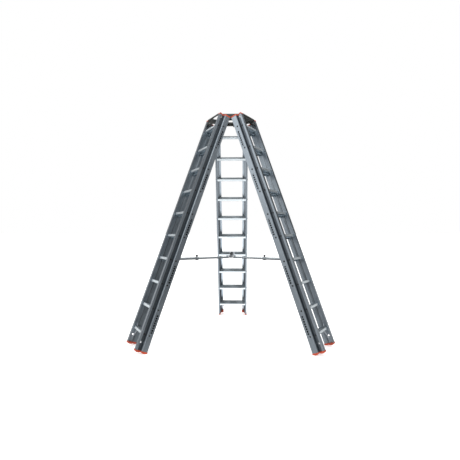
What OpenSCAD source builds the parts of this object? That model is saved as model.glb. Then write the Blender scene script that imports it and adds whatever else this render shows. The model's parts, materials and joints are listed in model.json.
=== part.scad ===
// Three-sided tread ladder: three equal ladders hinged round a triangular hub at the top,
// held apart by a three-armed telescopic spreader.

/* [Stance] */
// Angle of each ladder from the vertical when the ladder stands open
open_angle = 20.7; // [18:0.1:22]
// Distance from the middle axis to a ladder's inner plane, measured at its top
top_radius = 114; // [114:0.5:120]

/* [Ladder] */
// Distance between treads, measured along the stile
tread_pitch = 250; // [245:1:255]
// Number of treads on each ladder
tread_count = 10; // [8:1:10]
// Half the overall width of one ladder
half_width = 194; // [192:0.5:194]
// Distance along the stile from the top of the ladder plane to the first tread's top
first_tread = 128; // [120:1:140]
// Distance along the stile to the tip of the foot
foot_tip = 2564; // [2555:1:2580]

/* [Stile] */
// Depth of the stile, from the inner side to the climbing side
stile_depth = 112; // [110:1:114]
// Width of the hollow box on the stile's inner side
box_width = 20; // [18:0.5:22]
// Depth of the hollow box before it steps in to the web
box_depth = 52; // [50:1:54]
// Wall thickness of the stile
wall = 2.5; // [2:0.1:3]

/* [Tread] */
// Depth of a tread from its inner to its climbing edge
tread_depth = 99; // [90:1:101]
// Height of a tread's skirt
tread_height = 26; // [24:0.5:30]

/* [Spreader] */
// Height of the spreader's arms below the top of the ladder plane
spreader_drop = 1515; // [1505:1:1525]
// Outer radius of the tube on the ladder's side of each arm
outer_tube_r = 14; // [13.5:0.1:14.5]
// Outer radius of the sliding tube on the middle side of each arm
inner_tube_r = 11; // [10.5:0.1:11.2]
// Distance from the middle axis to a clamp knob
clamp_radius = 418; // [405:1:430]

/* [Hub] */
// Diameter of the opening in the middle of the hub plate
hub_opening = 106; // [90:1:115]
// Diameter of the hinge bolts
hinge_bolt_d = 12; // [10:1:14]

/* [Hidden] */
$fn = 48;
fit_gap = 0.05;
BACK = 90;
LEFT = 210;
RIGHT = 330;

// stile section, as depth from the inner plane and distance from the ladder's middle
box_in = half_width - box_width;
web_out = half_width - 34;
web_in = web_out - 4;
web_start = box_depth + 14;
lip_out = web_out + 12;
lip_in = web_in - 23;
lip_thick = 5;
climb_start = stile_depth - 20;
step_start = box_depth - box_width;

// distances along the stile, from the top of the ladder plane downwards
stile_top = 12;
cap_plate = 5;
cap_skirt = 7;
cap_wall = 1.8;
stile_end = foot_tip - 17;
brace_drop = 95;

// fasteners of the treads
port_y = tread_height / 2 - 0.6;
inner_bolt_v = 34.6;
outer_bolt_v = web_start + 13;
end_hole_r = 9;
end_hole_v = climb_start - end_hole_r - 1;
end_hole_rise = 95;
bolt_r = 3.5;
bolt_head_r = 9;

// feet: two rounded lobes, the inner one worn flat where the open ladder stands on it
lobe_r = 64;
lobe_v = 28;
lobe_half = 31;
climb_lobe_r = 59;
climb_lobe_v = 87;
climb_lobe_half = 28;
foot_shoe = 3;
flat_cut = 1.2;
top_height = (foot_tip - lobe_r) * cos(open_angle) - lobe_v * sin(open_angle) + lobe_r - flat_cut;

// the object's middle in plan: the back foot's reach against the front feet's
foot_reach = top_radius + (climb_lobe_v + climb_lobe_half) * cos(open_angle)
    + (foot_tip - climb_lobe_r + sqrt(pow(climb_lobe_r, 2) - pow(climb_lobe_half, 2))) * sin(open_angle);
middle_shift = ((lip_out + foot_shoe) * cos(30) - foot_reach / 2) / 2;

// hinge of a ladder on the hub
hinge_s = 42;
hinge_v = 90;
bush_r = 9;
bush_flange_r = 12;
hinge_recess_r = bush_flange_r + 1.5;
hinge_r = top_radius + hinge_s * sin(open_angle) + hinge_v * cos(open_angle);
hinge_z = top_height - hinge_s * cos(open_angle) + hinge_v * sin(open_angle);
ear_out = lip_in - 4;
ear_thick = 8;

// hub plate
hub_inradius = 111;
hub_corner = 200;
plate_z = top_height + 15;
plate_thick = 6;
rim_drop = 16;
rim_wall = 5;
ear_drop = 18;
bracket_base = 5;
bracket_web = 4;
hub_screw_r = 3;
hub_screw_head_r = 5.5;
hub_screw_u = 90;
hub_screw_z = plate_z - bracket_web - hub_screw_head_r - 0.5;
bar_r = 208;
bar_w = 16;
bar_z = top_height + 25;
bar_h = 10;
corner_bar_out = 204;
corner_bar_w = 14;
corner_bar_half = 110;

// spreader
pivot_v = -48;
arm_z = top_height - spreader_drop;
pivot_s = (spreader_drop + pivot_v * sin(open_angle)) / cos(open_angle);
pivot_r = top_radius + pivot_s * sin(open_angle) + pivot_v * cos(open_angle);
pivot_pin_r = 5;
clamp_half = 20;
knob_screw_r = 4;
back_pin_at = 30;
centre_pin_r = 4;
side_screw_at = 34;
side_arm_end_at = 34;
cheek = 4;
cheek_long = 18;
back_cheek_u = inner_tube_r + 0.5;
side_cheek_u = inner_tube_r + 18;
stem_r = 5;
tube_wall = 2;
slide_overlap = 18;
cheek_gap = 21;
centre_plate_z = arm_z + 14.5;
lower_bead = [5, 16];
upper_bead = [19, 34];
stem_h = 32;
bracket_tread = 6;

// ---- frames -------------------------------------------------------------------------------

// radial frame of one ladder: x outwards, y along the ladder's width, z up
module radial(azimuth) {
    translate([0, middle_shift, 0]) rotate([0, 0, azimuth]) children();
}

// frame of one leaning ladder: x is depth, y is width, -z runs down the stile
module on_ladder(azimuth) {
    radial(azimuth) translate([top_radius, 0, top_height]) rotate([0, -open_angle, 0]) children();
}

// both sides of a ladder, the child being made for the positive one
module both_sides() {
    children();
    mirror([0, 1, 0]) children();
}

// bar along the width, from a section drawn as depth against height
module across(width) {
    rotate([90, 0, 0]) linear_extrude(height = width, center = true) children();
}

// cylinder along the width from one distance to another
module pin_y(r, from, to) {
    translate([0, to, 0]) rotate([90, 0, 0]) cylinder(r = r, h = to - from);
}

// ---- stiles -------------------------------------------------------------------------------

// outline of the stile, grown by g all round
function stile_outline(g) = [
    [-g, box_in - g],
    [-g, half_width + g],
    [box_depth + g / 2, half_width + g],
    [box_depth + 8 + g, half_width - 6 + g / 2],
    [web_start + g, web_out + g],
    [climb_start - g, web_out + g],
    [climb_start - g, lip_out + g],
    [stile_depth + g, lip_out + g],
    [stile_depth + g, lip_in - g],
    [stile_depth - lip_thick - g, lip_in - g],
    [stile_depth - lip_thick - g, web_in - g],
    [web_start - 2 - g / 2, web_in - g],
    [step_start - g / 2, box_in - g]
];

// everything from the stile's inward side outwards, grown by g, to trim what meets it
beyond = 50;
function stile_side(g) = [
    [-beyond, box_in - g],
    [step_start - g / 2, box_in - g],
    [web_start - 2 - g / 2, web_in - g],
    [stile_depth + beyond, web_in - g],
    [stile_depth + beyond, half_width + beyond],
    [-beyond, half_width + beyond]
];

// hollow inside the stile's box
function stile_hollow() = [
    [wall, box_in + wall],
    [wall, half_width - wall],
    [box_depth - 1, half_width - wall],
    [box_depth + 5, half_width - 7.5],
    [web_start - 1.5, web_out + 2],
    [step_start + 2, box_in + wall]
];

// hollow inside the small box on the climbing side
function climb_hollow() = [
    [climb_start + wall, web_in + wall],
    [climb_start + wall, lip_out - wall],
    [stile_depth - wall, lip_out - wall],
    [stile_depth - wall, web_in + wall]
];

module stile() {
    color("lightsteelblue") difference() {
        translate([0, 0, -stile_end]) linear_extrude(height = stile_end - stile_top) difference() {
            polygon(stile_outline(0));
            polygon(stile_hollow());
            polygon(climb_hollow());
        }
        for (i = [0 : tread_count - 1]) translate([0, 0, -first_tread - port_y - i * tread_pitch]) {
            translate([inner_bolt_v, 0, 0]) pin_y(bolt_r + fit_gap, box_in - 5, half_width + 5);
            translate([outer_bolt_v, 0, 0]) pin_y(bolt_r + fit_gap, web_in - 5, web_out + 5);
        }
        translate([hinge_v, 0, -hinge_s]) pin_y(bush_r, web_in - 5, web_out + 5);
        translate([hinge_v, 0, -hinge_s]) pin_y(hinge_recess_r, web_out, lip_out + 5);
        translate([end_hole_v, 0, end_hole_rise - foot_tip]) pin_y(end_hole_r, web_in - 5, web_out + 5);
    }
}

module stile_right(azimuth) {
    on_ladder(azimuth) stile();
}

module stile_left(azimuth) {
    on_ladder(azimuth) mirror([0, 1, 0]) stile();
}

// ---- treads -------------------------------------------------------------------------------

// rectangle with round corners, its top edge at y = 0
module round_rect(x0, x1, height, r) {
    translate([x0 + r, -height]) square([x1 - x0 - 2 * r, height]);
    translate([x0, r - height]) square([x1 - x0, height - 2 * r]);
    for (x = [x0 + r, x1 - r], y = [-r, r - height]) translate([x, y]) circle(r = r);
}

// section of a tread: an open-bottomed channel with a ribbed top and two screw ports
module tread_section() {
    skirt = 3;
    rib_pitch = 6;
    rib_w = 2.4;
    rib_h = 1.2;
    difference() {
        round_rect(1, tread_depth, tread_height, 4);
        translate([0, -skirt]) round_rect(1 + skirt, tread_depth - skirt, tread_height - 2 * skirt, 2);
        translate([12, -tread_height - 1]) square([tread_depth - 24, skirt + 4]);
    }
    for (x = [7 : rib_pitch : tread_depth - 7]) translate([x, -0.5]) square([rib_w, rib_h + 0.5]);
    for (v = [inner_bolt_v, outer_bolt_v]) {
        translate([v - 2, -port_y + bolt_r + 1]) square([4, port_y - bolt_r - 3]);
        translate([v, -port_y]) difference() {
            circle(r = bolt_r + 3);
            circle(r = bolt_r + fit_gap);
        }
    }
}

module treads(azimuth) {
    end_gap = 0.2;
    color("gainsboro") on_ladder(azimuth) for (i = [0 : tread_count - 1])
        translate([0, 0, -first_tread - i * tread_pitch]) difference() {
            across(2 * (box_in - end_gap)) tread_section();
            both_sides() translate([0, 0, -tread_height - 5]) linear_extrude(height = tread_height + 10)
                polygon(stile_side(end_gap));
        }
}

// bolt along the width: a flat round head with its shank running inwards
module tread_bolt(head_at, length) {
    pin_y(bolt_r, head_at - length, head_at + 1);
    pin_y(bolt_head_r, head_at, head_at + 2);
    pin_y(bolt_head_r - 2.5, head_at + 2, head_at + 3.5);
}

module tread_bolts(azimuth) {
    color("dimgray") on_ladder(azimuth) both_sides() for (i = [0 : tread_count - 1])
        translate([0, 0, -first_tread - port_y - i * tread_pitch]) {
            translate([inner_bolt_v, 0, 0]) tread_bolt(half_width, 50);
            translate([outer_bolt_v, 0, 0]) tread_bolt(web_out, 32);
        }
}

// ---- caps, feet and braces ----------------------------------------------------------------

module top_caps(azimuth) {
    color("orangered") on_ladder(azimuth) both_sides() {
        translate([0, 0, -stile_top]) linear_extrude(height = cap_plate)
            polygon(stile_outline(cap_wall));
        translate([0, 0, -stile_top - cap_skirt]) linear_extrude(height = cap_skirt + 1) difference() {
            polygon(stile_outline(cap_wall));
            polygon(stile_outline(0));
        }
    }
}

// round-soled lobe of a foot: a slice of a cylinder across the width
module foot_lobe(v, half, r, u0, u1) {
    translate([v, (u0 + u1) / 2, -foot_tip]) across(u1 - u0) intersection() {
        translate([0, r]) circle(r = r, $fn = 96);
        translate([-half, 0]) square([2 * half, foot_tip - stile_end]);
    }
}

module feet(azimuth) {
    shoe = foot_shoe;
    skirt = 3;
    floor_size = 6000;
    color("orangered") difference() {
        on_ladder(azimuth) both_sides() {
            foot_lobe(lobe_v, lobe_half, lobe_r, box_in - shoe, half_width + shoe);
            foot_lobe(climb_lobe_v, climb_lobe_half, climb_lobe_r, lip_in - shoe, lip_out + shoe);
            translate([0, 0, -stile_end - 6]) linear_extrude(height = 6) polygon(stile_outline(shoe));
            translate([0, 0, -stile_end]) linear_extrude(height = skirt) difference() {
                polygon(stile_outline(shoe));
                polygon(stile_outline(0));
            }
        }
        translate([-floor_size / 2, -floor_size / 2, -100]) cube([floor_size, floor_size, 100]);
    }
}

// flat bar under each end of the lowest tread, and a small gusset above it
module braces(azimuth) {
    thick = 4;
    reach = 62;
    bar = 18;
    low = first_tread + (tread_count - 1) * tread_pitch;
    under = low + tread_height;
    color("silver") on_ladder(azimuth) both_sides() {
        translate([web_start + 6, 0, 0]) rotate([90, 0, 90]) linear_extrude(height = thick) polygon([
            [web_in, -under - brace_drop],
            [web_in, -under - brace_drop + bar + 10],
            [web_in - reach + bar, -under - 0.2],
            [web_in - reach, -under - 0.2],
            [web_in - reach, -under - 5]
        ]);
        translate([web_start + 6, 0, 0]) rotate([90, 0, 90]) linear_extrude(height = thick) polygon([
            [web_in, -low + 1.3],
            [web_in, -low + 34],
            [web_in - 7, -low + 34],
            [web_in - 30, -low + 1.3]
        ]);
    }
}

// ---- hub ----------------------------------------------------------------------------------

// triangle with cut corners; its flat sides face the three ladders
module hub_outline(inradius, corner) {
    half = (inradius - corner / 2) / cos(30);
    polygon([for (a = [30, 150, 270], side = [-1, 1])
        [corner * cos(a) - side * half * sin(a), corner * sin(a) + side * half * cos(a)]]);
}

// bars round the corners, each ending against the outer faces of the brackets' ears
module hub_corner_bars() {
    height = bar_z + bar_h - plate_z;
    difference() {
        for (a = [30, 150, 270]) rotate([0, 0, a])
            translate([corner_bar_out - corner_bar_w, -corner_bar_half, plate_z])
                cube([corner_bar_w, 2 * corner_bar_half, height]);
        for (azimuth = [BACK, LEFT, RIGHT]) rotate([0, 0, azimuth])
            translate([0, -ear_out, plate_z - 1])
                cube([2 * bar_r, 2 * ear_out, height + 2]);
    }
}

module hub_plate() {
    collar_drop = 6;
    color("black") translate([0, middle_shift, 0]) {
        translate([0, 0, plate_z]) linear_extrude(height = plate_thick) difference() {
            hub_outline(hub_inradius, hub_corner);
            circle(d = hub_opening, $fn = 96);
        }
        hub_corner_bars();
        translate([0, 0, plate_z - rim_drop]) linear_extrude(height = rim_drop) difference() {
            hub_outline(hub_inradius, hub_corner);
            hub_outline(hub_inradius - rim_wall, hub_corner - rim_wall);
        }
        translate([0, 0, plate_z - collar_drop]) linear_extrude(height = collar_drop) difference() {
            circle(d = hub_opening + 2 * rim_wall, $fn = 96);
            circle(d = hub_opening, $fn = 96);
        }
    }
}

// side plate of a bracket, drawn as radius against height
module ear_outline() {
    polygon([
        [hub_inradius, plate_z - ear_drop],
        [hub_inradius, plate_z],
        [hub_inradius + 30, plate_z],
        [hub_inradius + 44, bar_z + bar_h],
        [bar_r + bar_w, bar_z + bar_h],
        [bar_r + bar_w + 4, bar_z],
        [hinge_r + 16, hinge_z - 14],
        [hinge_r + 6, hinge_z - 22],
        [hinge_r - 10, hinge_z - 22],
        [hinge_r - 50, plate_z - ear_drop]
    ]);
}

// bracket between the hub plate and one ladder: two ears, a base and a bar across the top
module hub_bracket(azimuth, web) {
    color("black") radial(azimuth) {
        difference() {
            both_sides() translate([0, ear_out - ear_thick / 2, 0]) across(ear_thick) ear_outline();
            both_sides() translate([hinge_r, 0, hinge_z])
                pin_y(hinge_bolt_d / 2, ear_out - ear_thick - 5, ear_out + 5);
        }
        difference() {
            translate([hub_inradius, -ear_out, plate_z - rim_drop])
                cube([bracket_base, 2 * ear_out, rim_drop]);
            for (u = [-hub_screw_u, hub_screw_u]) translate([hub_inradius - 5, u, hub_screw_z])
                rotate([0, 90, 0]) cylinder(r = hub_screw_r, h = bracket_base + 10);
        }
        translate([bar_r, -ear_out, bar_z]) cube([bar_w, 2 * ear_out, bar_h]);
        translate([hub_inradius + bracket_base - 1, web[0], plate_z - bracket_web])
            cube([bar_r - hub_inradius - bracket_base + 2, web[1] - web[0], bracket_web]);
        translate([bar_r, web[0], plate_z - bracket_web])
            cube([bracket_web, web[1] - web[0], bar_z - plate_z + bracket_web + 1]);
    }
}

// screws that hold the brackets against the hub plate's rim
module hub_bracket_screws() {
    head = 4;
    color("silver") for (azimuth = [BACK, LEFT, RIGHT]) radial(azimuth)
        for (u = [-hub_screw_u, hub_screw_u])
            translate([hub_inradius + bracket_base, u, hub_screw_z]) rotate([0, 90, 0]) {
                cylinder(r = hub_screw_head_r, h = head, $fn = 6);
                translate([0, 0, -bracket_base]) cylinder(r = hub_screw_r, h = bracket_base + 1);
            }
}

module hinge_bolts(azimuth) {
    head = hinge_bolt_d * 0.85;
    color("silver") radial(azimuth) both_sides() translate([hinge_r, 0, hinge_z]) {
        pin_y(hinge_bolt_d / 2, ear_out - ear_thick - 6, web_out + 8);
        rotate([90, 0, 0]) translate([0, 0, -web_out - 9]) cylinder(r = head, h = 7, $fn = 6);
        rotate([90, 0, 0]) translate([0, 0, ear_thick - ear_out]) cylinder(r = head, h = 6, $fn = 6);
    }
}

module hinge_bushes(azimuth) {
    bore = hinge_bolt_d / 2 + fit_gap;
    color("white") on_ladder(azimuth) both_sides() translate([hinge_v, 0, -hinge_s]) difference() {
        union() {
            pin_y(bush_r, ear_out + 0.5, web_out + 0.5);
            pin_y(bush_flange_r, web_out, web_out + 1.5);
        }
        pin_y(bore, 0, half_width);
    }
}

// ---- spreader -----------------------------------------------------------------------------

// clevis on the inner edge of a middle tread, carrying the outer tube's pivots
module arm_bracket(azimuth) {
    plate = 4;
    plate_half = 32;
    screw_u = 25;
    screw_r = 3;
    screw_head_r = 5.5;
    screw_head = 3;
    cheek_reach = 10;
    cheek_height = 44;
    tread_top = first_tread + bracket_tread * tread_pitch;
    // the plate stops short of the skirt's lower edge, so that the sliding tube swings past it
    plate_low = tread_height - 7;
    plate_up = 35;
    color("silver") on_ladder(azimuth) {
        difference() {
            translate([1 - plate, -plate_half, -tread_top - plate_low])
                cube([plate, 2 * plate_half, plate_low + plate_up]);
            for (u = [-screw_u, screw_u]) translate([-plate - 1, u, -tread_top - port_y])
                rotate([0, 90, 0]) cylinder(r = screw_r, h = plate + 6);
        }
        difference() {
            both_sides() translate([pivot_v - cheek_reach, cheek_gap, -tread_top - 8])
                cube([1 - pivot_v + cheek_reach - plate, plate, cheek_height]);
            translate([pivot_v, 0, -pivot_s]) pin_y(pivot_pin_r, -60, 60);
        }
        for (u = [-screw_u, screw_u]) translate([1 - plate, u, -tread_top - port_y]) rotate([0, 90, 0]) {
            translate([0, 0, -screw_head]) cylinder(r = screw_head_r, h = screw_head, $fn = 6);
            cylinder(r = screw_r, h = plate);
        }
    }
}

// two short pivot screws, one through each cheek into the outer tube's collar
module arm_pivots(azimuth) {
    color("dimgray") radial(azimuth) both_sides() translate([pivot_r, 0, arm_z]) {
        pin_y(pivot_pin_r, outer_tube_r + 2, cheek_gap + 5);
        rotate([90, 0, 0]) translate([0, 0, -cheek_gap - 9]) cylinder(r = 8, h = 5, $fn = 6);
    }
}

// tube lying along the radius between two distances from the axis
module radial_tube(r, inner_r, from, to) {
    translate([from, 0, arm_z]) rotate([0, 90, 0]) difference() {
        cylinder(r = r, h = to - from);
        translate([0, 0, -1]) cylinder(r = inner_r, h = to - from + 2);
    }
}

module outer_tube(azimuth) {
    collar = 12;
    bore = inner_tube_r + fit_gap;
    color("silver") radial(azimuth) difference() {
        union() {
            radial_tube(outer_tube_r, bore, clamp_radius - clamp_half, pivot_r + collar);
            radial_tube(outer_tube_r + 3, bore, pivot_r - collar, pivot_r + collar);
            translate([pivot_r, 0, arm_z]) difference() {
                pin_y(9, -cheek_gap + 1, cheek_gap - 1);
                rotate([0, 90, 0]) cylinder(r = outer_tube_r, h = 30, center = true);
            }
        }
        for (side = [-1, 1]) translate([pivot_r, side * (outer_tube_r + 6), arm_z])
            rotate([90, 0, 0]) cylinder(r = pivot_pin_r + fit_gap, h = 8.2, center = true);
    }
}

module inner_tube(azimuth) {
    outer_end = clamp_radius - clamp_half + slide_overlap + 20;
    inner_end = azimuth == BACK ? back_pin_at - 7 : side_arm_end_at;
    color("silver") radial(azimuth) difference() {
        radial_tube(inner_tube_r, inner_tube_r - tube_wall, inner_end, outer_end);
        if (azimuth == BACK) translate([back_pin_at, 0, arm_z])
            pin_y(centre_pin_r + fit_gap, -20, 20);
    }
}

// split clamp round the end of the outer tube, with its bolt standing up through the ears
module clamp(azimuth) {
    body_r = outer_tube_r + 2.5;
    ear = 18;
    ear_z = outer_tube_r + 4;
    boss = 14;
    boss_z = outer_tube_r + 7;
    color("silver") radial(azimuth) difference() {
        union() {
            radial_tube(body_r, outer_tube_r, clamp_radius - clamp_half + 1, clamp_radius + clamp_half);
            translate([clamp_radius - ear / 2, -ear / 2, arm_z]) cube([ear, ear, ear_z]);
            translate([clamp_radius - boss / 2, -boss / 2, arm_z - boss_z]) cube([boss, boss, boss_z]);
        }
        translate([clamp_radius - 2 * clamp_half, 0, arm_z]) rotate([0, 90, 0])
            cylinder(r = outer_tube_r, h = 4 * clamp_half);
        translate([clamp_radius, 0, arm_z]) cylinder(r = knob_screw_r + fit_gap, h = 2 * ear_z);
    }
}

// knob with six rounded lobes on its screw
module clamp_knob(azimuth) {
    lobes = 6;
    lobe = 3.5;
    neck_r = 7;
    neck = 4;
    grip_r = 10;
    grip = 15;
    crown = 2;
    color("black") radial(azimuth) translate([clamp_radius, 0, arm_z + outer_tube_r + 4.5]) {
        translate([0, 0, -4]) cylinder(r = knob_screw_r, h = 5);
        cylinder(r = neck_r, h = neck + 1);
        translate([0, 0, neck]) linear_extrude(grip) {
            circle(r = grip_r);
            for (k = [0 : lobes - 1]) rotate(k * 360 / lobes) translate([grip_r - 1, 0]) circle(r = lobe);
        }
        translate([0, 0, neck + grip - 1]) cylinder(r = neck_r, h = crown + 1);
    }
}

// plate over the inner ends of the arms, with a pair of cheeks for each arm; the side pairs stand
// wide, because the side arms' ends swing between them without a pin
module centre_plate() {
    plate_r = 42;
    plate = 5;
    back_low = 9;
    side_low = 6;
    color("silver") translate([0, middle_shift, 0]) difference() {
        union() {
            translate([0, 0, centre_plate_z]) cylinder(r = plate_r, h = plate, $fn = 96);
            rotate([0, 0, BACK]) both_sides()
                translate([back_pin_at - cheek_long / 2, back_cheek_u, arm_z - back_low])
                    cube([cheek_long, cheek, centre_plate_z - arm_z + back_low + 1]);
            for (azimuth = [LEFT, RIGHT]) rotate([0, 0, azimuth]) {
                translate([0, -side_cheek_u - cheek, centre_plate_z])
                    cube([side_screw_at + cheek_long / 2, 2 * (side_cheek_u + cheek), plate]);
                both_sides() translate([side_screw_at - cheek_long / 2, side_cheek_u, arm_z - side_low])
                    cube([cheek_long, cheek, centre_plate_z - arm_z + side_low + 1]);
            }
        }
        rotate([0, 0, BACK]) translate([back_pin_at, 0, arm_z]) pin_y(centre_pin_r, -30, 30);
        translate([0, 0, arm_z]) cylinder(r = stem_r, h = 40);
    }
}

// pin through the back arm's end
module centre_pin() {
    reach = back_cheek_u + cheek;
    color("silver") radial(BACK) translate([back_pin_at, 0, arm_z]) {
        pin_y(centre_pin_r, -reach - 1, reach + 1);
        both_sides() pin_y(6.5, reach, reach + 3);
    }
}

// screw heads on the outside of the two front pairs of cheeks
module centre_side_screws() {
    out = side_cheek_u + cheek;
    color("silver") for (azimuth = [LEFT, RIGHT]) radial(azimuth) both_sides()
        translate([side_screw_at, 0, arm_z]) pin_y(5.5, out, out + 3);
}

// stem of the pull knob, with a head under the plate and a ring between the knob's beads
module centre_knob_stem() {
    color("silver") translate([0, middle_shift, centre_plate_z]) {
        translate([0, 0, -3]) cylinder(r = 8, h = 3);
        cylinder(r = stem_r, h = stem_h);
        translate([0, 0, lower_bead[1]]) cylinder(r = 9, h = upper_bead[0] - lower_bead[1]);
    }
}

// pull knob: two rounded beads, one above the other
module centre_knob() {
    core = 9;
    color("black") translate([0, middle_shift, centre_plate_z]) for (bead = [lower_bead, upper_bead]) {
        rim = (bead[1] - bead[0]) / 2;
        difference() {
            rotate_extrude() {
                translate([0, bead[0]]) square([core, 2 * rim]);
                translate([core, bead[0] + rim]) circle(r = rim);
            }
            cylinder(r = stem_r, h = stem_h);
        }
    }
}

// ---- the whole ladder ---------------------------------------------------------------------

CLOSED_WEB = [-ear_out + 1, ear_out - 1];
NARROW_WEB = [-88, -22];

hub_plate();
hub_bracket(BACK, NARROW_WEB);  // hub_bracket_back
hub_bracket(LEFT, NARROW_WEB);  // hub_bracket_left
hub_bracket(RIGHT, CLOSED_WEB);  // hub_bracket_right
hub_bracket_screws();
hinge_bolts(BACK);  // hinge_bolts_back
hinge_bolts(LEFT);  // hinge_bolts_left
hinge_bolts(RIGHT);  // hinge_bolts_right

stile_left(BACK);  // back_stile_left
stile_right(BACK);  // back_stile_right
treads(BACK);  // back_treads
tread_bolts(BACK);  // back_tread_bolts
top_caps(BACK);  // back_top_caps
feet(BACK);  // back_feet
braces(BACK);  // back_braces
hinge_bushes(BACK);  // back_hinge_bushes
arm_bracket(BACK);  // back_arm_bracket
arm_pivots(BACK);  // back_arm_pivots
outer_tube(BACK);  // back_outer_tube
clamp(BACK);  // back_clamp
clamp_knob(BACK);  // back_clamp_knob
inner_tube(BACK);  // back_inner_tube

stile_left(LEFT);  // left_stile_left
stile_right(LEFT);  // left_stile_right
treads(LEFT);  // left_treads
tread_bolts(LEFT);  // left_tread_bolts
top_caps(LEFT);  // left_top_caps
feet(LEFT);  // left_feet
braces(LEFT);  // left_braces
hinge_bushes(LEFT);  // left_hinge_bushes
arm_bracket(LEFT);  // left_arm_bracket
arm_pivots(LEFT);  // left_arm_pivots
outer_tube(LEFT);  // left_outer_tube
clamp(LEFT);  // left_clamp
clamp_knob(LEFT);  // left_clamp_knob
inner_tube(LEFT);  // left_inner_tube

stile_left(RIGHT);  // right_stile_left
stile_right(RIGHT);  // right_stile_right
treads(RIGHT);  // right_treads
tread_bolts(RIGHT);  // right_tread_bolts
top_caps(RIGHT);  // right_top_caps
feet(RIGHT);  // right_feet
braces(RIGHT);  // right_braces
hinge_bushes(RIGHT);  // right_hinge_bushes
arm_bracket(RIGHT);  // right_arm_bracket
arm_pivots(RIGHT);  // right_arm_pivots
outer_tube(RIGHT);  // right_outer_tube
clamp(RIGHT);  // right_clamp
clamp_knob(RIGHT);  // right_clamp_knob
inner_tube(RIGHT);  // right_inner_tube

centre_plate();
centre_pin();
centre_side_screws();
centre_knob_stem();
centre_knob();
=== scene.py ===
"""Looks for the three-sided tread ladder: camera, soft studio, materials and small fitted pieces."""

import json
import math

import bmesh
import bpy
from mathutils import Matrix, Vector


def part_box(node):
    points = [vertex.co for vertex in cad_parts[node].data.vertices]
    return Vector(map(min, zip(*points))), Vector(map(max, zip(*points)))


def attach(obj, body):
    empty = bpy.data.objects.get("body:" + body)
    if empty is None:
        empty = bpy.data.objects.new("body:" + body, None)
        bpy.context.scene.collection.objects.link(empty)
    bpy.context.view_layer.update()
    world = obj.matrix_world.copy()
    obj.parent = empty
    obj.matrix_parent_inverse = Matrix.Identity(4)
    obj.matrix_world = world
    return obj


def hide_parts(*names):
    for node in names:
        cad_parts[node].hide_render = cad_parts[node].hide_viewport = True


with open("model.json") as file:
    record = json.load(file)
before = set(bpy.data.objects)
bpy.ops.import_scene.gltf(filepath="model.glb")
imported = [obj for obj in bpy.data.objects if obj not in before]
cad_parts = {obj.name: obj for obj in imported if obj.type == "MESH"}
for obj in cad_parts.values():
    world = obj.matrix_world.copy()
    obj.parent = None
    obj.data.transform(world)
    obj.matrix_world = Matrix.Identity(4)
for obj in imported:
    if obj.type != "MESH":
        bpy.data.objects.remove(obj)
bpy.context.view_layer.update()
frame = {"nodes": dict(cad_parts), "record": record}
nodes = frame["nodes"]
record = frame["record"]
joints = {j["name"]: j for j in record["behaviour"]["joints"]}

# ---- places worked out from the frame ------------------------------------------------------

AZIMUTHS = {"back": 90, "left": 210, "right": 330}
OPEN_ANGLE = math.radians(joints["fold_back"]["range_deg"][1])
SPREADER_DROP = 1.515
PLANE_RADIUS = 0.114


def middle(node):
    lo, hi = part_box(node)
    return (lo + hi) / 2


AXIS = middle("centre_knob")
TOP = joints["arm_fold_back"]["pos_m"][2] + SPREADER_DROP


def ladder_frame(name):
    """Matrix from a ladder's own frame (x depth, y width, -z down the stile) to the row frame."""
    turn = Matrix.Rotation(math.radians(AZIMUTHS[name]), 4, "Z")
    lean = Matrix.Rotation(-OPEN_ANGLE, 4, "Y")
    place = Matrix.Translation((AXIS.x, AXIS.y, 0)) @ turn
    return place @ Matrix.Translation((PLANE_RADIUS, 0, TOP)) @ lean


def arm_frame(name):
    """Matrix from an arm's frame (x outwards along the arm, z up) to the row frame."""
    turn = Matrix.Rotation(math.radians(AZIMUTHS[name]), 4, "Z")
    height = joints["arm_fold_" + name]["pos_m"][2]
    return Matrix.Translation((AXIS.x, AXIS.y, height)) @ turn


# ---- camera --------------------------------------------------------------------------------

CAMERA_FROM_AXIS = Vector((0.09225, -4.1320))
CAMERA_BELOW_TOP = 1.24877
CAMERA_YAW = 1.319

camera_data = bpy.data.cameras.new("camera")
camera_data.sensor_width = 36
camera_data.lens = 28.68
camera_data.shift_x = -0.0017
camera_data.shift_y = 0.0075
camera = bpy.data.objects.new("camera", camera_data)
camera.location = (AXIS.x + CAMERA_FROM_AXIS.x, AXIS.y + CAMERA_FROM_AXIS.y, TOP - CAMERA_BELOW_TOP)
camera.rotation_euler = (math.radians(90), 0, math.radians(CAMERA_YAW))
bpy.context.scene.collection.objects.link(camera)
bpy.context.scene.camera = camera

# ---- material building ---------------------------------------------------------------------


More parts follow.
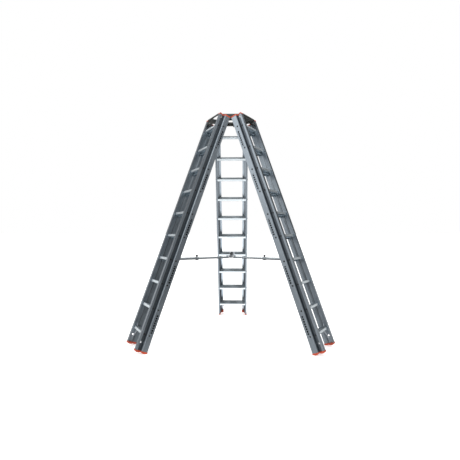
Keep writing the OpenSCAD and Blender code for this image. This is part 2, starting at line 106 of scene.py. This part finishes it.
class Shader:
    """A Principled material with short ways to add the nodes that the finishes share."""

    def __init__(self, name, turn=None):
        self.material = bpy.data.materials.new(name)
        self.material.use_nodes = True
        self.tree = self.material.node_tree
        self.surface = self.tree.nodes["Principled BSDF"]
        coords = self.tree.nodes.new("ShaderNodeTexCoord")
        self.point = coords.outputs["Object"]
        self.normal = coords.outputs["Normal"]
        if turn is not None:
            self.point = self.turned(self.point, turn, "POINT")
            self.normal = self.turned(self.normal, turn, "VECTOR")

    def turned(self, source, matrix, kind):
        """source seen in a piece's own frame; matrix is that frame in the row frame."""
        back = matrix.inverted()
        mapping = self.tree.nodes.new("ShaderNodeMapping")
        mapping.vector_type = kind
        mapping.inputs["Rotation"].default_value = back.to_euler("XYZ")
        if kind == "POINT":
            mapping.inputs["Location"].default_value = back.to_translation()
        self.tree.links.new(source, mapping.inputs["Vector"])
        return mapping.outputs["Vector"]

    def set(self, **values):
        for name, value in values.items():
            self.surface.inputs[name.replace("_", " ")].default_value = value

    def noise(self, scale, stretch=(1, 1, 1), detail=4.0, rough=0.55):
        mapping = self.tree.nodes.new("ShaderNodeMapping")
        mapping.inputs["Scale"].default_value = stretch
        self.tree.links.new(self.point, mapping.inputs["Vector"])
        node = self.tree.nodes.new("ShaderNodeTexNoise")
        node.inputs["Scale"].default_value = scale
        node.inputs["Detail"].default_value = detail
        node.inputs["Roughness"].default_value = rough
        self.tree.links.new(mapping.outputs["Vector"], node.inputs["Vector"])
        return node.outputs["Fac"]

    def spread(self, value, low, high, to_low=0.0, to_high=1.0):
        node = self.tree.nodes.new("ShaderNodeMapRange")
        node.inputs["From Min"].default_value = low
        node.inputs["From Max"].default_value = high
        node.inputs["To Min"].default_value = to_low
        node.inputs["To Max"].default_value = to_high
        self.tree.links.new(value, node.inputs["Value"])
        return node.outputs["Result"]

    def math(self, operation, first, second):
        node = self.tree.nodes.new("ShaderNodeMath")
        node.operation = operation
        for socket, value in zip(node.inputs, (first, second)):
            if isinstance(value, (int, float)):
                socket.default_value = value
            else:
                self.tree.links.new(value, socket)
        return node.outputs["Value"]

    def part(self, vector, axis):
        node = self.tree.nodes.new("ShaderNodeSeparateXYZ")
        self.tree.links.new(vector, node.inputs["Vector"])
        return node.outputs[axis]

    def mix(self, amount, first, second):
        node = self.tree.nodes.new("ShaderNodeMix")
        node.data_type = "RGBA"
        self.tree.links.new(amount, node.inputs["Factor"])
        for socket, value in ((node.inputs[6], first), (node.inputs[7], second)):
            if isinstance(value, tuple):
                socket.default_value = (*value, 1.0)
            else:
                self.tree.links.new(value, socket)
        return node.outputs[2]

    def colour(self, value):
        self.tree.links.new(value, self.surface.inputs["Base Color"])

    def roughness(self, value):
        self.tree.links.new(value, self.surface.inputs["Roughness"])

    def bump(self, value, depth, strength=0.5):
        node = self.tree.nodes.new("ShaderNodeBump")
        node.inputs["Strength"].default_value = strength
        node.inputs["Distance"].default_value = depth
        self.tree.links.new(value, node.inputs["Height"])
        self.tree.links.new(node.outputs["Normal"], self.surface.inputs["Normal"])


# sizes of the stile and treads, the same as in the CAD, in metres
HALF_WIDTH = 0.194
BOX_DEPTH = 0.052
CLIMB_START = 0.092
STILE_DEPTH = 0.112
RECESS_DEPTH = 0.034
TREAD_PITCH = 0.250
FIRST_TREAD = 0.128

# print on the stiles: a row of dashes in every second space between treads
DASH_STEP = 0.024
DASH_FROM = 0.002
DASH_TO = 0.019
ROW_FROM = 0.06
ROW_TO = 0.24
ROW_DEPTH_FROM = 0.017
ROW_DEPTH_TO = 0.033
ROW_EVERY = 2
PRINT_EDGE = 0.0005

ALONG = (1.0, 1.0, 0.012)
# dark colour painted as shade: in the stiles' outer recess, along their front and back edges and under the
# tubes
PAINTED_SHADE = (0.055, 0.062, 0.070)
PRINT_BLACK = (0.02, 0.022, 0.025)


def inside(s, value, low, high, soft):
    """1 where value lies between low and high, with soft edges."""
    above = s.spread(value, low - soft, low)
    below = s.spread(value, high, high + soft, 1.0, 0.0)
    return s.math("MULTIPLY", above, below)


def printed_dashes(s):
    """Plain dark dashes on the outer face, a stand-in for print."""
    along = s.math("MULTIPLY", s.part(s.point, "Z"), -1.0)
    step = s.math("MODULO", s.math("SUBTRACT", along, FIRST_TREAD), ROW_EVERY * TREAD_PITCH)
    in_row = inside(s, step, ROW_FROM, ROW_TO, 0.001)
    dash = inside(s, s.math("MODULO", along, DASH_STEP), DASH_FROM, DASH_TO, PRINT_EDGE)
    across = inside(s, s.part(s.point, "X"), ROW_DEPTH_FROM, ROW_DEPTH_TO, PRINT_EDGE)
    outward = s.math("ABSOLUTE", s.part(s.point, "Y"), 0.0)
    outer = s.spread(outward, HALF_WIDTH - 0.002, HALF_WIDTH - 0.001)
    return s.math("MULTIPLY", s.math("MULTIPLY", in_row, dash), s.math("MULTIPLY", across, outer))


def extruded_aluminium(name, matrix, light, dark, low, high):
    """Anodised extrusion: die lines along the stile, scuffed patches, painted shade in the outer recess
    and along the front and back edges.
    """
    s = Shader(name, matrix)
    s.set(Metallic=1.0)
    lines = s.noise(900, ALONG, 2.0, 0.7)
    cloud = s.noise(5, (1, 1, 0.5), 5.0)
    scuff = s.spread(s.noise(60, (1, 1, 0.2), 6.0, 0.7), 0.60, 0.74)
    mottle = s.math("ADD", s.math("MULTIPLY", lines, 0.55), s.math("MULTIPLY", cloud, 0.45))
    tone = s.spread(mottle, 0.36, 0.64)
    depth = s.part(s.point, "X")
    outward = s.math("ABSOLUTE", s.part(s.point, "Y"), 0.0)
    # painted shade: this masks the outer recess between the box and the climbing face so it can be
    # darkened
    between = inside(s, depth, BOX_DEPTH + 0.003, CLIMB_START - 0.001, 0.002)
    floor_at = HALF_WIDTH - RECESS_DEPTH - 0.0005
    outside = s.spread(outward, floor_at - 0.002, floor_at)
    recess = s.math("MULTIPLY", between, outside)
    # painted shade lines along the stile's front and back edges
    rim = 0.0015
    near_end = s.spread(depth, 0.0, rim, 1.0, 0.0)
    ends = s.math("ADD", near_end, s.spread(depth, STILE_DEPTH - rim, STILE_DEPTH))
    metal = s.mix(s.math("MULTIPLY", scuff, 0.35), s.mix(tone, dark, light), light)
    # painted shade darkens the outer recess
    recess_shaded = s.mix(s.math("MULTIPLY", recess, 0.72), metal, PAINTED_SHADE)
    edge_shaded = s.mix(s.math("MULTIPLY", ends, 0.55), recess_shaded, PAINTED_SHADE)
    s.colour(s.mix(printed_dashes(s), edge_shaded, PRINT_BLACK))
    s.roughness(s.math("ADD", s.spread(lines, 0.3, 0.7, low, high), s.math("MULTIPLY", scuff, 0.10)))
    s.bump(lines, 0.00025, 0.35)
    return s.material


def tread_aluminium(name, matrix):
    """Tread extrusion: lines run along the width; the ribbed top holds grime between its ribs."""
    s = Shader(name, matrix)
    s.set(Metallic=1.0)
    lines = s.noise(800, (1, 0.012, 1), 2.0, 0.7)
    cloud = s.noise(9, (1, 1, 1), 5.0)
    clean = s.mix(s.spread(lines, 0.35, 0.65), (0.60, 0.66, 0.70), (0.74, 0.80, 0.83))
    upward = s.spread(s.part(s.normal, "Z"), 0.55, 0.85)
    grime = s.math("MULTIPLY", upward, s.spread(cloud, 0.30, 0.60, 0.65, 1.0))
    s.colour(s.mix(grime, clean, (0.15, 0.165, 0.175)))
    s.roughness(s.math("ADD", s.spread(lines, 0.3, 0.7, 0.30, 0.42), s.math("MULTIPLY", grime, 0.22)))
    s.bump(lines, 0.00025, 0.35)
    return s.material


def plastic(name, light, dark, roughness, grain=1400):
    """Moulded plastic: fine spark-eroded grain, slight colour drift, rubbed patches."""
    s = Shader(name)
    s.set(Metallic=0.0, Specular_IOR_Level=0.45)
    fine = s.noise(grain, detail=2.0)
    cloud = s.noise(14, detail=5.0)
    s.colour(s.mix(s.spread(cloud, 0.35, 0.65), dark, light))
    s.roughness(s.spread(cloud, 0.3, 0.7, roughness - 0.07, roughness + 0.09))
    s.bump(fine, 0.0002, 0.30)
    return s.material


def powder_coat(name, light, dark):
    """Powder coat: orange-peel surface, a little dust in the hollows of its colour."""
    s = Shader(name)
    s.set(Metallic=0.0, Specular_IOR_Level=0.5)
    peel = s.noise(420, detail=2.0)
    cloud = s.noise(18, detail=6.0)
    s.colour(s.mix(s.spread(cloud, 0.35, 0.70), dark, light))
    s.roughness(s.spread(cloud, 0.3, 0.7, 0.36, 0.52))
    s.bump(peel, 0.0004, 0.30)
    return s.material


def plated_steel(name, light, dark, low, high):
    """Plated steel: mottled spangle with fine scratches."""
    s = Shader(name)
    s.set(Metallic=0.9, Specular_IOR_Level=0.5)
    spangle = s.noise(120, detail=5.0)
    fine = s.noise(900, (1, 0.1, 1), 2.0)
    s.colour(s.mix(s.spread(spangle, 0.35, 0.65), dark, light))
    s.roughness(s.spread(spangle, 0.3, 0.7, low, high))
    s.bump(fine, 0.0002, 0.25)
    return s.material


def drawn_tube(name, matrix):
    """Drawn tube: lines along the arm, rubbed bands where it slides, and painted shade on its underside.
    """
    s = Shader(name, matrix)
    s.set(Metallic=0.85, Specular_IOR_Level=0.5)
    lines = s.noise(900, (0.012, 1, 1), 2.0, 0.7)
    bands = s.noise(22, (1, 0.2, 0.2), 4.0)
    bright = s.mix(s.spread(lines, 0.35, 0.65), (0.30, 0.33, 0.35), (0.46, 0.50, 0.52))
    # painted shade: faces that point down are darkened
    underside_shade = s.spread(s.part(s.normal, "Z"), -0.15, 0.45, 0.75, 0.0)
    s.colour(s.mix(underside_shade, bright, PAINTED_SHADE))
    s.roughness(s.math("ADD", s.spread(lines, 0.3, 0.7, 0.24, 0.34), s.math("MULTIPLY", bands, 0.10)))
    s.bump(lines, 0.0002, 0.30)
    return s.material


def dress(node, material):
    """Gives a CAD node its finish in every material slot that it has."""
    data = nodes[node].data
    if not data.materials:
        data.materials.append(material)
    for index in range(len(data.materials)):
        data.materials[index] = material


orange = plastic("cap_orange", (0.50, 0.065, 0.020), (0.36, 0.045, 0.015), 0.46)
knob_black = plastic("knob_black", (0.024, 0.026, 0.028), (0.012, 0.013, 0.014), 0.55)
nylon = plastic("bush_nylon", (0.74, 0.73, 0.69), (0.66, 0.64, 0.59), 0.48)
hub_black = powder_coat("hub_black", (0.060, 0.063, 0.060), (0.042, 0.045, 0.043))
zinc = plated_steel("screw_zinc", (0.62, 0.63, 0.64), (0.44, 0.45, 0.46), 0.26, 0.42)
bolt = powder_coat("bolt_dark", (0.022, 0.024, 0.027), (0.010, 0.011, 0.013))
brace = plated_steel("brace_metal", (0.46, 0.48, 0.51), (0.32, 0.34, 0.37), 0.30, 0.46)

PLAIN_FINISH = {
    "cap_orange": orange, "knob_black": knob_black, "bush_nylon": nylon, "hub_black": hub_black,
    "screw_zinc": zinc, "bolt_dark": bolt, "brace_metal": brace,
}
slot_of = {row["node"]: row["material_slot"] for row in record["subparts"]}

for side in AZIMUTHS:
    lean = ladder_frame(side)
    stile_finish = extruded_aluminium("stile_aluminium_" + side, lean, light=(0.46, 0.52, 0.57),
                                      dark=(0.33, 0.38, 0.43), low=0.30, high=0.42)
    tread_finish = tread_aluminium("tread_aluminium_" + side, lean)
    tube_finish = drawn_tube("tube_aluminium_" + side, arm_frame(side))
    for node, slot in slot_of.items():
        if node.startswith(side + "_"):
            shaped = {"stile_aluminium": stile_finish, "tread_aluminium": tread_finish,
                      "tube_aluminium": tube_finish}
            if slot in shaped:
                dress(node, shaped[slot])

for node, slot in slot_of.items():
    if slot in PLAIN_FINISH:
        dress(node, PLAIN_FINISH[slot])

# ---- fitted pieces -------------------------------------------------------------------------

KNOB_ROUNDING = 0.0012
ROUNDED = {"top_caps": 0.0012, "feet": 0.0015, "clamp_knob": KNOB_ROUNDING}
SHARP = math.radians(40)

# a bolt head as rings from its seat up and into the socket: (share of the radius, share of the height)
BOLT_HEAD = 0.0035
HEAD_RINGS = [(1.0, 0.0), (1.0, 0.25), (0.93, 0.55), (0.78, 0.82), (0.55, 0.97), (0.40, 1.0), (0.40, 0.45)]
HEAD_STEPS = 24
SOCKET_SHARE = 0.40

body_of = {node: body for body, held in record["behaviour"]["bodies"].items() for node in held}


def add_piece(name, shape, node, material):
    """Makes the bmesh a visible piece that stands for a CAD node and moves with its body."""
    mesh = bpy.data.meshes.new(name)
    shape.to_mesh(mesh)
    shape.free()
    mesh.shade_smooth()
    mesh.set_sharp_from_angle(angle=SHARP)
    mesh.materials.append(material)
    piece = bpy.data.objects.new(name, mesh)
    bpy.context.scene.collection.objects.link(piece)
    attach(piece, body_of[node])
    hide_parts(node)


def cad_shape(node):
    """The CAD node as a clean bmesh: welded, with its flat faces whole again."""
    plain = bpy.data.meshes.new("plain")
    source = nodes[node].data
    plain.from_pydata([v.co[:] for v in source.vertices], [], [list(f.vertices) for f in source.polygons])
    shape = bmesh.new()
    shape.from_mesh(plain)
    bpy.data.meshes.remove(plain)
    bmesh.ops.remove_doubles(shape, verts=shape.verts, dist=1e-5)
    bmesh.ops.dissolve_limit(shape, angle_limit=math.radians(0.5), verts=shape.verts, edges=shape.edges)
    return shape


def moulded(node, radius):
    """A CAD shape with its sharp edges rounded where there is room, as a mould leaves them."""
    shape = cad_shape(node)
    sharp = [e for e in shape.edges if e.is_manifold and e.calc_face_angle() > SHARP]
    bmesh.ops.bevel(shape, geom=sharp, offset=radius, segments=3, profile=0.5, affect="EDGES",
                    clamp_overlap=True)
    add_piece(node + "_moulded", shape, node, PLAIN_FINISH[slot_of[node]])


def islands(shape):
    """The separate solids of a bmesh in its own order, each a list of its corner places."""
    seen = set()
    for start in shape.verts:
        if start in seen:
            continue
        seen.add(start)
        found = [start]
        for vert in found:
            for edge in vert.link_edges:
                other = edge.other_vert(vert)
                if other not in seen:
                    seen.add(other)
                    found.append(other)
        yield [vert.co.copy() for vert in found]


def button_head(shape, seat, axis, radius, height):
    """A domed screw head with a six-sided socket; axis points out of the seat."""
    flank = axis.orthogonal().normalized()
    flat = math.cos(math.radians(30))
    loops = []
    for share, rise in HEAD_RINGS:
        loop = []
        for k in range(HEAD_STEPS):
            degrees = 360 * k // HEAD_STEPS
            turn = Matrix.Rotation(2 * math.pi * k / HEAD_STEPS, 3, axis)
            hexagon = flat / math.cos(math.radians(degrees % 60 - 30)) if share == SOCKET_SHARE else 1.0
            reach = turn @ flank * radius * share * hexagon
            loop.append(shape.verts.new(seat + reach + axis * height * rise))
        loops.append(loop)
    for low, high in zip(loops, loops[1:]):
        for k in range(HEAD_STEPS):
            shape.faces.new((low[k], low[k - 1], high[k - 1], high[k]))
    shape.faces.new(loops[0])
    shape.faces.new(loops[-1][::-1])


def domed_bolts(side):
    """Tread bolt heads, domed and with a socket, one at each bolt of the CAD; they have no shanks."""
    node = side + "_tread_bolts"
    cad = cad_shape(node)
    into = ladder_frame(side)
    back = into.inverted()
    shape = bmesh.new()
    for corners in islands(cad):
        local = [back @ corner for corner in corners]
        low = Vector([min(c[i] for c in local) for i in range(3)])
        high = Vector([max(c[i] for c in local) for i in range(3)])
        outward = 1 if low.y + high.y > 0 else -1
        far = high.y if outward > 0 else low.y
        radius = (high.x - low.x) / 2
        face = Vector(((low.x + high.x) / 2, far - outward * BOLT_HEAD, (low.z + high.z) / 2))
        axis = into.to_3x3() @ Vector((0, outward, 0))
        button_head(shape, into @ face, axis, radius, BOLT_HEAD)
    cad.free()
    bmesh.ops.recalc_face_normals(shape, faces=shape.faces)
    add_piece(node + "_domed", shape, node, bolt)


for side in AZIMUTHS:
    domed_bolts(side)
    for part, radius in ROUNDED.items():
        moulded(side + "_" + part, radius)
moulded("centre_knob", KNOB_ROUNDING)

# ---- studio --------------------------------------------------------------------------------


def sun_light(name, toward, strength, width):
    data = bpy.data.lights.new(name, "SUN")
    data.energy = strength
    data.angle = math.radians(width)
    light = bpy.data.objects.new(name, data)
    light.rotation_euler = Vector(toward).to_track_quat("-Z", "Y").to_euler()
    bpy.context.scene.collection.objects.link(light)


# a wide soft light from above keeps the floor evenly bright
sun_light("overhead", (0.05, 0.10, -1.0), 3.0, 120)

bpy.context.scene.view_settings.view_transform = "Standard"

# brightness of what the metal mirrors, by direction
FRONT_LEFT = 1.00
FRONT_RIGHT = 0.24
WINDOW = 1.05
BEHIND = 1.00
BAND_EDGE = 0.08
BELOW = 1.90


def studio_world():
    """White backdrop. The metal mirrors a room: bright at the left and dim at the right, with a window
    straight in front, a band of light behind, and a pale floor."""
    world = bpy.data.worlds.new("studio")
    world.use_nodes = True
    tree = world.node_tree
    background = tree.nodes["Background"]
    background.inputs["Strength"].default_value = 1.0
    coords = tree.nodes.new("ShaderNodeTexCoord")
    parts = tree.nodes.new("ShaderNodeSeparateXYZ")
    tree.links.new(coords.outputs["Generated"], parts.inputs["Vector"])

    def ramp(axis, low, high, to_low, to_high):
        node = tree.nodes.new("ShaderNodeMapRange")
        node.interpolation_type = "SMOOTHSTEP"
        values = (low, high, to_low, to_high)
        for name, value in zip(("From Min", "From Max", "To Min", "To Max"), values):
            node.inputs[name].default_value = value
        tree.links.new(parts.outputs[axis], node.inputs["Value"])
        return node.outputs["Result"]

    def combine(operation, first, second):
        node = tree.nodes.new("ShaderNodeMath")
        node.operation = operation
        tree.links.new(first, node.inputs[0])
        tree.links.new(second, node.inputs[1])
        return node.outputs["Value"]

    sides = ramp("X", -0.9, 0.9, FRONT_LEFT, FRONT_RIGHT)
    facing = combine("MULTIPLY", ramp("Z", -0.25, 0.15, 0.16, 1.0), ramp("Y", 0.10, 0.55, 1.0, 0.25))
    window = ramp("Y", -0.95, -0.82, WINDOW, 0.0)
    front = combine("MAXIMUM", combine("MULTIPLY", sides, facing), window)
    band_top = ramp("Z", 0.12, 0.22, 1.0, BAND_EDGE)
    band = combine("MULTIPLY", ramp("Z", -0.12, -0.02, BAND_EDGE, 1.0), band_top)
    behind = combine("MULTIPLY", ramp("Y", -0.35, 0.45, 0.0, BEHIND), band)
    below = combine("MULTIPLY", ramp("Z", -0.60, -0.36, BELOW, 0.0), ramp("Y", -0.2, 0.2, 1.0, 0.0))
    room = combine("ADD", front, combine("MAXIMUM", behind, below))
    path = tree.nodes.new("ShaderNodeLightPath")
    mix = tree.nodes.new("ShaderNodeMix")
    mix.data_type = "RGBA"
    tree.links.new(path.outputs["Is Camera Ray"], mix.inputs["Factor"])
    tree.links.new(room, mix.inputs[6])
    mix.inputs[7].default_value = (1, 1, 1, 1)
    tree.links.new(mix.outputs[2], background.inputs["Color"])
    bpy.context.scene.world = world


studio_world()

floor_mesh = bpy.data.meshes.new("floor")
outline = bmesh.new()
bmesh.ops.create_grid(outline, x_segments=2, y_segments=2, size=400)
outline.to_mesh(floor_mesh)
outline.free()
floor = bpy.data.objects.new("floor", floor_mesh)
pale = Shader("floor_pale")
pale.set(Roughness=0.9, Specular_IOR_Level=0.1, Emission_Strength=0.35)
pale.colour(pale.mix(pale.noise(0.6, detail=2.0), (0.90, 0.90, 0.90), (0.93, 0.93, 0.93)))
floor_mesh.materials.append(pale.material)
bpy.context.scene.collection.objects.link(floor)
floor.visible_glossy = False
